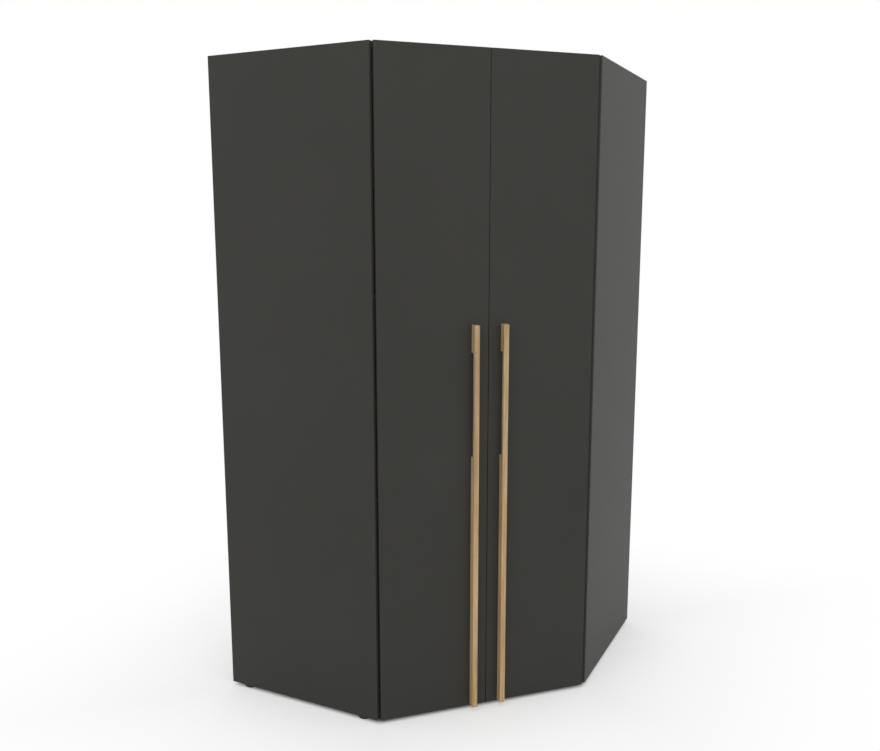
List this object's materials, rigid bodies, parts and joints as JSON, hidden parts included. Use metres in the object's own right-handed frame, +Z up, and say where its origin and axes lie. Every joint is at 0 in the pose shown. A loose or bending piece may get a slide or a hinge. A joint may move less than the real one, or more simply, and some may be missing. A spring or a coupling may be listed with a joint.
{
  "type": "corner wardrobe",
  "caption": "Corner wardrobe with a diagonal front of hinged full-height doors, long oak bar handles, backs along the room's walls, a hat shelf, a clothes rail and low feet.",
  "frame": {"origin": "on the floor, under the middle of the box round the whole wardrobe", "axes": "+X to the right as seen from the front, +Y from the doors towards the room's corner, +Z up"},
  "size_m": [1.7322, 1.3562, 2.33],
  "materials": {
    "graphite_board": "matte graphite-grey coated board",
    "oak": "oiled solid oak, grain upright",
    "black_plastic": "moulded, fine matte",
    "clear_rubber": "soft translucent",
    "chromed_rail": "bright chrome",
    "cast_zinc": "dull zinc",
    "hinge_steel": "nickel-plated, satin"
  },
  "bodies": {
    "carcass": {"back_screws": "hinge_steel", "bottom_panel": "graphite_board", "bracket_screws": "hinge_steel", "cam_bolts": "cast_zinc", "cam_housings": "cast_zinc", "clothes_rail": "chromed_rail", "foot_glide_1": "black_plastic", "foot_glide_2": "black_plastic", "foot_glide_3": "black_plastic", "foot_glide_4": "black_plastic", "foot_glide_5": "black_plastic", "hat_shelf": "graphite_board", "left_back_panel": "graphite_board", "left_hinge_arm_1": "hinge_steel", "left_hinge_arm_2": "hinge_steel", "left_hinge_arm_3": "hinge_steel", "left_hinge_arm_4": "hinge_steel", "left_hinge_plate_1": "hinge_steel", "left_hinge_plate_2": "hinge_steel", "left_hinge_plate_3": "hinge_steel", "left_hinge_plate_4": "hinge_steel", "left_side_panel": "graphite_board", "rail_end_caps": "black_plastic", "rail_hangers": "chromed_rail", "rail_screws": "hinge_steel", "right_back_panel": "graphite_board", "right_hinge_arm_1": "hinge_steel", "right_hinge_arm_2": "hinge_steel", "right_hinge_arm_3": "hinge_steel", "right_hinge_arm_4": "hinge_steel", "right_hinge_plate_1": "hinge_steel", "right_hinge_plate_2": "hinge_steel", "right_hinge_plate_3": "hinge_steel", "right_hinge_plate_4": "hinge_steel", "right_side_panel": "graphite_board", "shelf_pins": "hinge_steel", "top_panel": "graphite_board", "wall_bracket_1": "hinge_steel", "wall_bracket_2": "hinge_steel"},
    "left_door": {"left_door_bumpers": "clear_rubber", "left_door_panel": "graphite_board", "left_handle": "oak", "left_handle_screws": "hinge_steel", "left_hinge_cup_1": "hinge_steel", "left_hinge_cup_2": "hinge_steel", "left_hinge_cup_3": "hinge_steel", "left_hinge_cup_4": "hinge_steel", "left_hinge_pins": "hinge_steel"},
    "right_door": {"right_door_bumpers": "clear_rubber", "right_door_panel": "graphite_board", "right_handle": "oak", "right_handle_screws": "hinge_steel", "right_hinge_cup_1": "hinge_steel", "right_hinge_cup_2": "hinge_steel", "right_hinge_cup_3": "hinge_steel", "right_hinge_cup_4": "hinge_steel", "right_hinge_pins": "hinge_steel"}
  },
  "joints": [
    {"name": "left_door_hinge", "type": "hinge", "parent": "carcass", "child": "left_door", "pos_m": [-0.38977, -0.63875, 1.1725], "axis": [0, 0, -1], "range_deg": [0, 95]},
    {"name": "right_door_hinge", "type": "hinge", "parent": "carcass", "child": "right_door", "pos_m": [0.38977, -0.63875, 1.1725], "axis": [0, 0, 1], "range_deg": [0, 95]}
  ]
}
